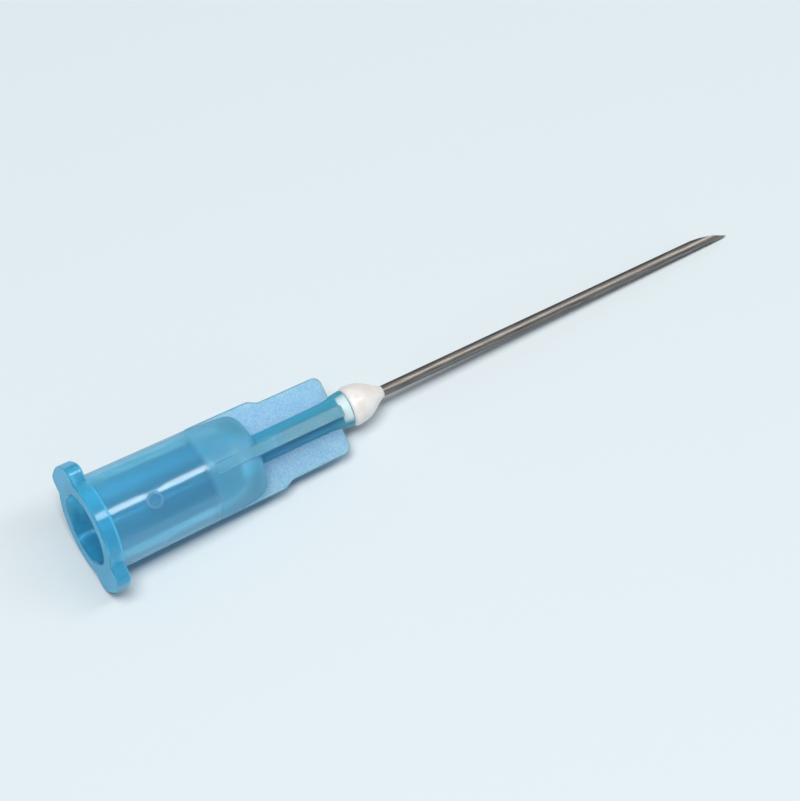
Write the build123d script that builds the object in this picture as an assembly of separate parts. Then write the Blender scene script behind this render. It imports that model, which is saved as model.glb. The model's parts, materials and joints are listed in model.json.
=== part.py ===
from build123d import *
import math
import os

# Hypodermic needle: a moulded hub with a tapered socket, a steel cannula and the adhesive that bonds them.
# Sizes are in millimetres. The needle's axis is X, and places along it are measured from the hub's open end.

# Socket and bore of the hub
mouth_r = 2.15
taper_on_diameter = 0.06
socket_depth = 8.5
mouth_chamfer = 0.10
relief_step = 0.17
relief_length = 0.9
floor_ease = 0.25
funnel_length = 1.7
lumen_r = 0.25

# Outside of the hub's barrel
rear_wall = 0.69
front_wall = 0.83
shoulder_wall = 0.72
end_wall = 1.2
shoulder_round = 0.75
shoulder_ease = 0.15

# Flange and its two lugs
flange_thickness = 0.90
flange_rim = 0.26
flange_ease = 0.10
edge_ease = 0.10
lug_reach = 0.80
lug_width = 3.6
lug_corner = 0.55

# Nose of the hub
nose_length = 6.25
nose_wall = 0.58
rim_wall = 0.43
flare_length = 1.4
flare_round = 2.5
rim_ease = 0.06

# Four fins from the barrel to the nose
fin_count = 4
fin_thickness = 0.66
fin_on_barrel = 2.9
fin_proud = 0.02
fin_draft = 0.05
fin_rear_length = 0.96
fin_step = 0.30
fin_setback = 0.80
fin_corner = 0.50
fin_edge = 0.06
fin_heel = 0.10

# Small raised ring on the barrel, where a mould carries its mark
mark_x = 3.7
mark_turn = 2
mark_r = 0.50
mark_width = 0.14
mark_height = 0.06

# Cannula: a drawn tube with a three-facet point
cannula_r = 0.32
cannula_bore_r = 0.165
cannula_reach = 25.0
cannula_in_hub = 4.25
bevel_length = 2.4
lancet_length = 0.80
lancet_turn = 58
point_turn = 35
rear_chamfer = 0.05

# Adhesive and the well in the nose that holds it
guide_clearance = 0.02
well_gap = 0.33
well_depth = 0.68
bead_crown = 0.60
bead_overhang = 0.075
bead_flank = 1.50
bead_flank_skin = 0.52
bead_foot = 2.00
bead_foot_skin = 0.165
bead_length = 2.32
bead_skin = 0.02

# Places and radii that follow from the sizes above
socket_end_r = mouth_r - socket_depth * taper_on_diameter / 2
relief_r = socket_end_r - relief_step
barrel_rear_r = mouth_r + rear_wall
barrel_front_r = socket_end_r + front_wall
shoulder_r = relief_r + shoulder_wall
floor_x = socket_depth + relief_length
shoulder_x = floor_x + end_wall
nose_x = shoulder_x + nose_length

guide_r = cannula_r + guide_clearance
well_r = guide_r + well_gap
nose_r = guide_r + nose_wall
rim_r = well_r + rim_wall

flange_r = barrel_rear_r + flange_rim
lug_r = flange_r + lug_reach

fin_start_x = shoulder_x - fin_on_barrel
fin_step_x = shoulder_x + fin_rear_length
fin_front_x = nose_x - fin_setback
fin_rear_r = barrel_front_r + fin_proud
fin_front_r = fin_rear_r - fin_draft - fin_step

seat_x = nose_x - cannula_in_hub
well_x = nose_x - well_depth
tip_x = nose_x + cannula_reach


def rounded_face(corners):
    """Flat face from (place along the axis, radius, rounding) corners."""
    points = [(x, r) for x, r, _ in corners]
    roundings = [rounding for _, _, rounding in corners]
    return make_face(FilletPolyline(*points, radius=roundings, close=True))


def hub_body():
    """Flange, barrel and nose, turned as one solid bar."""
    flare_x = nose_x - flare_length
    corners = [
        (0, 0, 0),
        (0, flange_r - edge_ease, 0),
        (edge_ease, flange_r, 0),
        (flange_thickness - edge_ease, flange_r, 0),
        (flange_thickness, flange_r - edge_ease, 0),
        (flange_thickness, barrel_rear_r + flange_ease, 0),
        (flange_thickness + flange_ease, barrel_rear_r, 0),
        (fin_start_x, barrel_front_r, 0),
        (shoulder_x, shoulder_r, shoulder_round),
        (shoulder_x, nose_r + shoulder_ease, 0),
        (shoulder_x + shoulder_ease, nose_r, 0),
        (flare_x, nose_r, flare_round),
        (nose_x - rim_ease, rim_r, 0),
        (nose_x, rim_r - rim_ease, 0),
        (nose_x, 0, 0),
    ]
    return revolve(rounded_face(corners), Axis.X)


def lugs():
    """Bar across the flange that makes its two lugs, with flat sides and rounded ends."""
    section = Plane.YZ * (Circle(lug_r) & Rectangle(3 * lug_r, lug_width))
    section = fillet(section.vertices(), lug_corner)
    bar = extrude(section, flange_thickness)
    return chamfer(bar.edges().filter_by(Axis.X, reverse=True), edge_ease)


def fin():
    """One fin: a plate from the axis outward, with a step in its outer edge and eased edges."""
    corners = [
        (fin_start_x, 0, 0),
        (fin_start_x, fin_rear_r, fin_heel),
        (fin_step_x, fin_rear_r - fin_draft, fin_step),
        (fin_step_x + 2 * fin_step, fin_front_r, fin_step),
        (fin_front_x, fin_front_r - fin_draft, fin_corner),
        (fin_front_x, 0, 0),
    ]
    plate = extrude(rounded_face(corners), fin_thickness / 2, both=True)
    rims = plate.edges().filter_by(Axis.Z, reverse=True).filter_by(lambda edge: edge.center().Y > nose_r)
    return chamfer(rims, fin_edge)


def cavity():
    """The space inside the hub: socket, relief, funnel, lumen, the cannula's bore and the adhesive's well."""
    overrun = 0.5
    corners = [
        (-overrun, 0, 0),
        (-overrun, mouth_r + mouth_chamfer, 0),
        (0, mouth_r + mouth_chamfer, 0),
        (mouth_chamfer, mouth_r - mouth_chamfer * taper_on_diameter / 2, 0),
        (socket_depth, socket_end_r, 0),
        (socket_depth, relief_r, 0),
        (floor_x - floor_ease, relief_r, 0),
        (floor_x, relief_r - floor_ease, 0),
        (floor_x + funnel_length, lumen_r, 0),
        (seat_x, lumen_r, 0),
        (seat_x, guide_r, 0),
        (well_x, guide_r, 0),
        (well_x, well_r, 0),
        (nose_x + overrun, well_r, 0),
        (nose_x + overrun, 0, 0),
    ]
    return revolve(rounded_face(corners), Axis.X)


def mark_ring():
    """Small raised ring on the barrel's side."""
    slope = (barrel_rear_r - barrel_front_r) / (fin_start_x - flange_thickness)
    surface_r = barrel_rear_r - slope * (mark_x - flange_thickness)
    ring = extrude(Circle(mark_r) - Circle(mark_r - mark_width), mark_height + rear_wall / 2)
    return Rot(mark_turn, 0, 0) * Pos(mark_x, 0, surface_r - rear_wall / 2) * ring


def hub():
    """The one-piece moulding."""
    body = hub_body() + lugs() + mark_ring()
    for index in range(fin_count):
        body += Rot(index * 360 / fin_count, 0, 0) * fin()
    return body - cavity()


def ground_off(turn, slope):
    """The steel above one ground facet, a plane through the point that is turned about the axis."""
    normal = Vector(math.sin(slope), math.cos(slope) * math.cos(turn), math.cos(slope) * math.sin(turn))
    reach = 4 * (bevel_length + cannula_r)
    block = Box(reach, reach, reach, align=(Align.CENTER, Align.CENTER, Align.MIN))
    return Plane(origin=(tip_x, -cannula_r, 0), z_dir=normal) * block


def cannula():
    """The steel tube, ground to a primary bevel and two lancet facets, and turned as it was bonded."""
    wall = [
        (seat_x, cannula_bore_r),
        (seat_x, cannula_r - rear_chamfer),
        (seat_x + rear_chamfer, cannula_r),
        (tip_x, cannula_r),
        (tip_x, cannula_bore_r),
    ]
    tube = revolve(make_face(Polyline(*wall, close=True)), Axis.X)
    bevel_slope = math.atan2(2 * cannula_r, bevel_length)
    tube -= ground_off(0, bevel_slope)

    # The lancet facets start on the tube's outside, where the primary bevel is this high and this wide.
    turn = math.radians(lancet_turn)
    start_height = lancet_length * math.tan(bevel_slope)
    start_width = math.sqrt(cannula_r**2 - (start_height - cannula_r) ** 2)
    rise = start_height * math.cos(turn) + start_width * math.sin(turn)
    lancet_slope = math.atan2(rise, lancet_length)
    tube = tube - ground_off(turn, lancet_slope) - ground_off(-turn, lancet_slope)
    return Rot(-point_turn, 0, 0) * tube


def adhesive():
    """Adhesive that fills the well in the nose and stands over its rim as a drop round the cannula."""
    rim = (nose_x, rim_r - rim_ease)
    crown = (nose_x + bead_crown, rim_r + bead_overhang)
    flank = (nose_x + bead_flank, cannula_r + bead_flank_skin)
    foot = (nose_x + bead_foot, cannula_r + bead_foot_skin)
    end = (nose_x + bead_length, cannula_r + bead_skin)
    inside = Polyline(end, (end[0], cannula_r), (well_x, cannula_r), (well_x, well_r), (nose_x, well_r), rim)
    drop = Spline(rim, crown, flank, foot, end, tangents=((1, 2), (3, -1)))
    return revolve(make_face(inside + drop), Axis.X)


def resting_frame():
    """The table's plane under the needle at rest: it lies on a lug, a fin and the cannula near its point."""
    lug_z = lug_corner - lug_width / 2
    lug_y = -math.sqrt((lug_r - lug_corner) ** 2 - lug_z**2)
    fin_y = fin_edge - fin_thickness / 2
    fin_z = fin_draft - fin_rear_r
    touches = [
        (Vector(flange_thickness - edge_ease, lug_y, lug_z), lug_corner),
        (Vector(fin_step_x, fin_y, fin_z), 0),
        (Vector(tip_x - bevel_length / 2, 0, 0), cannula_r),
    ]
    down = Vector(0, -1, -1).normalized()
    for _ in range(20):
        feet = [centre + down * radius for centre, radius in touches]
        down = (feet[1] - feet[0]).cross(feet[2] - feet[0]).normalized()
    up = down * -1
    forward = Vector(1, 0, 0) - up * up.X
    return Plane(origin=feet[0], x_dir=forward, z_dir=up)


def laid_down(pieces):
    """The pieces in the table's frame, over the origin and standing on its plane."""
    table = resting_frame()
    placed = {name: table.to_local_coords(piece) for name, piece in pieces.items()}
    box = Compound(list(placed.values())).bounding_box()
    shift = Pos(-box.center().X, -box.center().Y, -box.min.Z)
    return {name: shift * piece for name, piece in placed.items()}


os.makedirs("parts", exist_ok=True)
for name, piece in laid_down({"hub": hub(), "cannula": cannula(), "adhesive": adhesive()}).items():
    export_step(piece, f"parts/{name}.step")
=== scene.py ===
import json
import math

import bpy
from mathutils import Matrix, Vector

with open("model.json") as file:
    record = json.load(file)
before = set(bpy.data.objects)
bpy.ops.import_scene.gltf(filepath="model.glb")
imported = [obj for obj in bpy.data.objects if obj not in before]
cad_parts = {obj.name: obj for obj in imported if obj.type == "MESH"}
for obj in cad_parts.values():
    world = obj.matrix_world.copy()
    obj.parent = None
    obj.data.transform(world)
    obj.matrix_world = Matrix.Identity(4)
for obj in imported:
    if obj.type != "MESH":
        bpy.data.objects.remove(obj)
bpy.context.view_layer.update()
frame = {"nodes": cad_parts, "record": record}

# Hub. It is one moulding of translucent turquoise polypropylene, polished on the flange, the barrel and
# inside. The mould is spark-eroded from just before the fins: the shoulder comes out satin, and the fins'
# faces come out frosted and paler, which is where the protective sheath grips.
MM = 0.001

# The needle rests on a lug, a fin and its point, so its own axis isn't a world axis. The socket and the
# flat rim of the open end give that axis and the side that the upper lug points to.
mounts = {mount["name"]: mount for mount in frame["record"]["mounts"]}
forward = -Vector(mounts["luer_socket"]["axis"]).normalized()
socket_point = Vector(mounts["luer_socket"]["pos_m"])
rim_point = Vector(mounts["hub_rear_face"]["pos_m"])
open_end = socket_point + forward * (rim_point - socket_point).dot(forward)
side = (rim_point - open_end).normalized()
over = forward.cross(side)

# Places along the needle from its open end, in millimetres.
FLANGE_FRONT = 0.85
SATIN_START = 7.0
FINS_START = 7.7
SOCKET_FLOOR = 9.4
SHOULDER = 10.6
SEAT = 12.65
FINS_END = 16.05
WELL_FLOOR = 16.17
NOSE_END = 16.85

# Radii between the inner wall and the outside: at the socket, at the funnel past it, and in the nose.
BARREL_MIDDLE = 2.2
FUNNEL_MIDDLE = 1.55
NOSE_MIDDLE = 0.85

# Radii round the cannula, the well and the drop's foot on the rim, and half a fin's thickness.
SEAT_RADIUS = 0.35
WELL_RADIUS = 0.68
DROP_RADIUS = 1.03
HALF_FIN = 0.33

# The small raised ring on the barrel: its centre along, across and above the axis, and its edges.
MARK_CENTRE = (3.7, -0.1, 2.8)
MARK_INSIDE = 0.33
MARK_OUTSIDE = 0.51


class Tone:
    """One socket of a finish. Sums on it add Math nodes."""

    def __init__(self, socket):
        self.socket = socket

    def joined(self, operation, first, second=None):
        tree = self.socket.id_data
        node = tree.nodes.new("ShaderNodeMath")
        node.operation = operation
        for slot, value in zip(node.inputs, (first, second)):
            if isinstance(value, Tone):
                tree.links.new(value.socket, slot)
            elif value is not None:
                slot.default_value = value
        return Tone(node.outputs[0])

    def __add__(self, other):
        return self.joined("ADD", self, other)

    def __radd__(self, other):
        return self.joined("ADD", other, self)

    def __sub__(self, other):
        return self.joined("SUBTRACT", self, other)

    def __rsub__(self, other):
        return self.joined("SUBTRACT", other, self)

    def __mul__(self, other):
        return self.joined("MULTIPLY", self, other)

    def __rmul__(self, other):
        return self.joined("MULTIPLY", other, self)

    def __pow__(self, power):
        return self.joined("POWER", self, power)

    def __abs__(self):
        return self.joined("ABSOLUTE", self)

    def or_less(self, other):
        """The smaller of two tones."""
        return self.joined("MINIMUM", self, other)


class Finish:
    """A material and its nodes, with one Principled shader or several that are mixed."""

    def __init__(self, name):
        self.material = bpy.data.materials.new(name)
        self.material.use_nodes = True
        self.tree = self.material.node_tree
        self.tree.nodes.clear()
        self.output = self.tree.nodes.new("ShaderNodeOutputMaterial")

    def node(self, kind, output=0, settings=None, **sockets):
        """Adds a node: its settings first, then values or links for its sockets, by name or as _number."""
        made = self.tree.nodes.new(kind)
        for name, value in (settings or {}).items():
            setattr(made, name, value)
        for name, value in sockets.items():
            key = int(name[1:]) if name[0] == "_" else name.replace("_", " ")
            if isinstance(value, Tone):
                self.tree.links.new(value.socket, made.inputs[key])
            else:
                made.inputs[key].default_value = value
        return Tone(made.outputs[output])

    def shader(self, **sockets):
        return self.node("ShaderNodeBsdfPrincipled", **sockets)

    def show(self, shader, *layers):
        """Puts a shader on the surface, and over it further ones, each with its share."""
        for share, second in layers:
            shader = self.node("ShaderNodeMixShader", _0=share, _1=shader, _2=second)
        self.tree.links.new(shader.socket, self.output.inputs["Surface"])

    def cover(self, piece):
        """Makes this the piece's only finish."""
        piece.data.materials.clear()
        piece.data.materials.append(self.material)

    def needle_place(self):
        """Millimetres along the needle, across it and above it, for the point that is shaded."""
        point = self.node("ShaderNodeTexCoord", output="Object")
        away = self.node("ShaderNodeVectorMath", settings={"operation": "SUBTRACT"}, _0=point, _1=open_end)
        return [
            self.node("ShaderNodeVectorMath", output="Value", settings={"operation": "DOT_PRODUCT"},
                      _0=away, _1=direction / MM)
            for direction in (forward, side, over)
        ]

    def ramp(self, tone, low, high):
        """Rises smoothly from 0 to 1 while the tone goes from low to high."""
        return self.node("ShaderNodeMapRange", settings={"interpolation_type": "SMOOTHSTEP"},
                         Value=tone, From_Min=low, From_Max=high)

    def past(self, tone, start, rise=0.01):
        """1 where the tone is past the start and its rise, and 0 before them."""
        return self.ramp(tone, start, start + rise)

    def within(self, tone, end, fall=0.01):
        """1 up to the end, and 0 past its fall."""
        return 1 - self.ramp(tone, end, end + fall)

    def noise(self, where, scale, detail=2.0, roughness=0.5):
        return self.node("ShaderNodeTexNoise", Vector=where, Scale=scale, Detail=detail, Roughness=roughness)

    def vector(self, x, y, z):
        return self.node("ShaderNodeCombineXYZ", X=x, Y=y, Z=z)

    def blend(self, share, first, second):
        """Colour between two, by share."""
        return self.node("ShaderNodeMix", output=2, settings={"data_type": "RGBA"},
                         _0=share, _6=first, _7=second)

    def bump(self, height, strength, distance):
        return self.node("ShaderNodeBump", Height=height, Strength=strength, Distance=distance)


plastic = Finish("hub_plastic")
along, across, above = plastic.needle_place()
radius = (across * across + above * above) ** 0.5
where = plastic.vector(along, across, above)
cloud = plastic.noise(where, 1.3, detail=3.0)
grain = plastic.noise(where, 14.0, detail=3.0, roughness=0.65)
edge_on = plastic.node("ShaderNodeLayerWeight", output="Facing", Blend=0.5)

# Each of these is 1 on the surfaces of the moulding that it names and 0 on the rest.
past_floor = plastic.past(along, SOCKET_FLOOR + 0.05)
past_shoulder = plastic.past(along, SHOULDER - 0.1)
floor_step = (BARREL_MIDDLE - FUNNEL_MIDDLE) * past_floor
shoulder_step = (FUNNEL_MIDDLE - NOSE_MIDDLE) * past_shoulder
outside = plastic.past(radius + floor_step + shoulder_step, BARREL_MIDDLE, rise=0.02)
off_fin = abs(across).or_less(abs(above))
by_fins = plastic.past(along, FINS_START - 0.02, rise=0.02) * plastic.within(along, FINS_END, fall=0.02)
fins = plastic.within(off_fin, HALF_FIN + 0.005) * outside * by_fins
fin_faces = fins * plastic.past(off_fin, HALF_FIN - 0.008, rise=0.008)
satin = outside * plastic.past(along, SATIN_START, rise=0.5)
flange = plastic.within(along, FLANGE_FRONT, fall=0.25)
nose = outside * plastic.past(along, SHOULDER - 0.01, rise=0.21) * (1 - fins)
from_mark = plastic.node("ShaderNodeVectorMath", output="Value", settings={"operation": "DISTANCE"},
                         _0=where, _1=MARK_CENTRE)
mark = plastic.past(from_mark, MARK_INSIDE, rise=0.04) * plastic.within(from_mark, MARK_OUTSIDE, fall=0.03)
# Painted shade: the socket's inner wall, darker the deeper it goes.
socket_painted_shade = (1 - outside) * plastic.past(along, 0.8, rise=5.7)
round_cannula = plastic.within(radius, SEAT_RADIUS) * plastic.past(along, SEAT, rise=0.02)
not_metal = 1 - round_cannula

# The thin wall is pale, and the flange and the nose are richer. The socket's inner wall is painted darker
# inward: painted shade in the bore. The wall round the cannula isn't drawn, so that the steel shows in the
# nose and not a film of plastic.
thin_wall = (0.24, 0.72, 0.96, 1)
thick_wall = (0.15, 0.67, 0.94, 1)
# Darker blue for the painted shade inside the socket.
painted_shade_wall = (0.14, 0.55, 0.82, 1)
clear = {
    "Specular_IOR_Level": 0.3,
    "Subsurface_Radius": (0.5, 0.9, 1.0),
    "Base_Color": plastic.blend(socket_painted_shade, plastic.blend(flange + nose, thin_wall, thick_wall), painted_shade_wall),
    "Alpha": not_metal,
    "Normal": plastic.bump(cloud, 0.1, 0.01 * MM),
}


def polypropylene(**sockets):
    """Shader of the plastic, in which light spreads for about a millimetre."""
    return plastic.shader(IOR=1.49, Subsurface_Weight=1.0, Subsurface_Scale=MM, **sockets)


polished = polypropylene(
    Transmission_Weight=0.85, Roughness=0.12, Coat_Roughness=0.12,
    Coat_Weight=(1 - 0.6 * flange) * (1 - 0.8 * edge_on), **clear)
hazed = polypropylene(Transmission_Weight=0.75, Roughness=0.38, **clear)

# The plastic is a little cloudy, most where the wall is thick or seen edge-on.
cloudy = polypropylene(
    Transmission_Weight=0.2, Specular_IOR_Level=0.1, Roughness=0.4, Coat_Roughness=0.12,
    Subsurface_Radius=(0.3, 0.8, 1.0), Base_Color=(0.06, 0.50, 0.82, 1),
    Coat_Weight=0.8 * (1 - satin) * plastic.past(along, 0.02, rise=0.1) * (1 - edge_on))
cloudy_share = outside * (0.12 + 0.25 * flange + 0.15 * nose + 0.35 * plastic.ramp(edge_on, 0.3, 0.85))

# The frost is on the fins' faces. A trace of it is on their rims, on the raised ring and in the satin.
frost_low = (0.22, 0.54, 0.82, 1)
frost_high = (0.50, 0.73, 0.90, 1)
frosted = polypropylene(
    Transmission_Weight=0.45, Subsurface_Radius=(0.6, 0.9, 1.0),
    Base_Color=plastic.blend(plastic.ramp(0.15 * cloud + 0.85 * grain, 0.38, 0.62), frost_low, frost_high),
    Roughness=0.5 + 0.1 * grain,
    Normal=plastic.bump(grain, 0.4, 0.04 * MM))
fin_rims = fins * (0.5 * plastic.ramp(edge_on, 0.5, 0.9) + 0.25 * plastic.past(along, SHOULDER, rise=1.5))
bloom = satin * (1 - nose) * plastic.ramp(cloud, 0.35, 0.65)
frosted_share = fin_faces * 0.8 + fin_rims + mark * 0.2 + bloom * 0.14

# The adhesive wets the well's wall and the rim. Its white shows there, and through the nose over the well.
wetted = plastic.shader(Base_Color=(0.53, 0.67, 0.71, 1), Roughness=0.5)
in_well = plastic.past(along, WELL_FLOOR - 0.01, rise=0.005) * plastic.within(radius, WELL_RADIUS) * not_metal
on_rim = plastic.past(along, NOSE_END - 0.01, rise=0.005) * plastic.within(radius, DROP_RADIUS)
over_well = nose * plastic.past(along, WELL_FLOOR - 0.03, rise=0.16) * (1 - plastic.ramp(edge_on, 0.1, 0.5))
wetted_share = plastic.ramp(in_well + on_rim + 0.88 * over_well, 0.0, 1.0)

plastic.show(polished, (satin, hazed), (cloudy_share, cloudy), (frosted_share, frosted),
             (wetted_share, wetted))
plastic.cover(frame["nodes"]["hub"])

# Cannula. It is a drawn stainless tube with fine lines along it from the die. Its point is ground in three
# passes, which leave polished flat facets with fine scratches across them. The facets are also painted
# brighter, half non-metallic and pale, as a painted highlight.
TIP = 41.85
BEVEL = 2.4
UNDER_SKIN = 0.305

steel = Finish("cannula_steel")
along, across, above = steel.needle_place()
radius = (across * across + above * above) ** 0.5
drawn_lines = steel.noise(steel.vector(0.05 * along, across, above), 14.0, detail=3.0)
ground_lines = steel.noise(steel.vector(9.0 * along, 0.5 * across, 0.5 * above), 4.0)
ground = steel.past(along, TIP - BEVEL, rise=0.1) * steel.within(radius, UNDER_SKIN)
dull_steel = (0.17, 0.158, 0.15, 1)
bright_steel = (0.32, 0.303, 0.286, 1)
polished_steel_painted_glint = (0.80, 0.78, 0.76, 1)
drawn_steel = steel.blend(steel.ramp(drawn_lines, 0.3, 0.7), dull_steel, bright_steel)
steel.show(steel.shader(
    Specular_Tint=(0.1, 0.1, 0.12, 1),
    # Painted highlight on the ground facets: half non-metallic with a pale colour, so they stay bright in any
    # light.
    Metallic=1 - 0.5 * ground,
    Base_Color=steel.blend(ground, drawn_steel, polished_steel_painted_glint),
    Roughness=0.42 + 0.1 * drawn_lines - 0.1 * ground,
    Normal=steel.bump(drawn_lines * (1 - ground) + ground_lines * ground, 0.2, 0.01 * MM)))
steel.cover(frame["nodes"]["cannula"])

# Adhesive. It is cured white resin: it was dispensed into the nose's well round the cannula, and what stands
# over the rim drew itself up the steel into a smooth glossy drop.
resin = Finish("adhesive_white")
soft_waves = resin.noise(resin.vector(*resin.needle_place()), 1.1)
warm_white = (0.70, 0.67, 0.65, 1)
clean_white = (0.77, 0.76, 0.75, 1)
resin.show(resin.shader(
    IOR=1.5, Coat_Weight=0.5, Coat_Roughness=0.12, Roughness=0.35,
    Subsurface_Weight=0.5, Subsurface_Scale=0.3 * MM, Subsurface_Radius=(1.0, 0.8, 0.7),
    Base_Color=resin.blend(resin.ramp(soft_waves, 0.3, 0.7), warm_white, clean_white),
    Normal=resin.bump(soft_waves, 0.2, 0.03 * MM)))
adhesive = frame["nodes"]["adhesive"]
resin.cover(adhesive)

# The resin and the plastic share the well's wall. The resin is drawn in by two thousandths of a millimetre,
# so that the wall lies in front of it.
behind_wall = adhesive.modifiers.new("behind_wall", "DISPLACE")
behind_wall.strength = -0.002 * MM
behind_wall.mid_level = 0.0

# Table. It is a wide flat top under pale matt paper, with nothing else on it. The needle lies loose on it and
# casts a soft shadow there.
TABLE_SIZE = 4.0

bpy.ops.mesh.primitive_plane_add(size=TABLE_SIZE)
table = bpy.context.object
table.name = "table"
paper = Finish("table_paper")
paper.show(paper.shader(Roughness=0.75, Base_Color=(0.60, 0.67, 0.71, 1)))
paper.cover(table)

# Camera. It looks down on the needle from a little behind the hub's open end, and its picture is turned so
# that the needle points up to the right.
LOOK_BACK = math.radians(16.84)
LOOK_ACROSS = math.radians(0.66)
PICTURE_TURN = math.radians(25.10)
LOOK_DISTANCE = 404.0
AIM_ALONG = 20.0
AIM_RIGHT = 0.31
AIM_DOWN = 0.86


def axis_point(along):
    """World point on the needle's axis, by millimetres from the open end."""
    return open_end + forward * along * MM


toward_camera = (side * math.sin(LOOK_ACROSS) + over * math.cos(LOOK_ACROSS)) * math.cos(LOOK_BACK)
toward_camera -= forward * math.sin(LOOK_BACK)
picture_along = (forward - toward_camera * forward.dot(toward_camera)).normalized()
picture_across = toward_camera.cross(picture_along)
picture_right = picture_along * math.cos(PICTURE_TURN) - picture_across * math.sin(PICTURE_TURN)
picture_up = picture_along * math.sin(PICTURE_TURN) + picture_across * math.cos(PICTURE_TURN)
look_at = axis_point(AIM_ALONG) + (picture_right * AIM_RIGHT - picture_up * AIM_DOWN) * MM
camera = bpy.data.objects.new("camera", bpy.data.cameras.new("camera"))
bpy.context.scene.collection.objects.link(camera)
camera.data.lens = 320
camera.data.sensor_width = 36
camera.data.clip_start = 0.01
camera.data.clip_end = 10
turned = Matrix((picture_right, picture_up, toward_camera)).transposed()
camera.matrix_world = Matrix.Translation(look_at + toward_camera * LOOK_DISTANCE * MM) @ turned.to_4x4()
bpy.context.scene.camera = camera

# Light. A broad warm softbox stands near the camera, toward the picture's top edge, and lays the shadow just
# under the needle. A narrow strip hangs where its mirror image in the barrel falls on the line that the photo
# shows. An even cool room fills the rest.
LAMPS_FACE = 15
SIDEWAYS = math.tan(math.radians(14))
STRIP_AHEAD = math.tan(math.radians(15))


def hang(name, toward, distance, length, width, energy, colour):
    """Area light that faces the needle, with its length along the needle. Sizes in millimetres."""
    toward = toward.normalized()
    lengthwise = (forward - toward * forward.dot(toward)).normalized()
    lamp = bpy.data.objects.new(name, bpy.data.lights.new(name, "AREA"))
    bpy.context.scene.collection.objects.link(lamp)
    lamp.data.shape = "RECTANGLE"
    lamp.data.size = length * MM
    lamp.data.size_y = width * MM
    lamp.data.energy = energy
    lamp.data.color = colour
    turned = Matrix((lengthwise, toward.cross(lengthwise), toward)).transposed()
    lamp.matrix_world = Matrix.Translation(axis_point(LAMPS_FACE) + toward * distance * MM) @ turned.to_4x4()


hang("softbox", toward_camera + side * SIDEWAYS * 1.3, distance=480, length=180, width=180,
     energy=1.7, colour=(1.0, 0.97, 0.93))
hang("strip", over + side * SIDEWAYS + forward * STRIP_AHEAD, distance=450, length=500, width=100,
     energy=0.95, colour=(1.0, 0.99, 0.97))

room = bpy.data.worlds.new("room")
bpy.context.scene.world = room
room.use_nodes = True
room.node_tree.nodes["Background"].inputs["Color"].default_value = (0.90, 0.95, 1.0, 1)
room.node_tree.nodes["Background"].inputs["Strength"].default_value = 0.28

bpy.context.scene.view_settings.view_transform = "Standard"
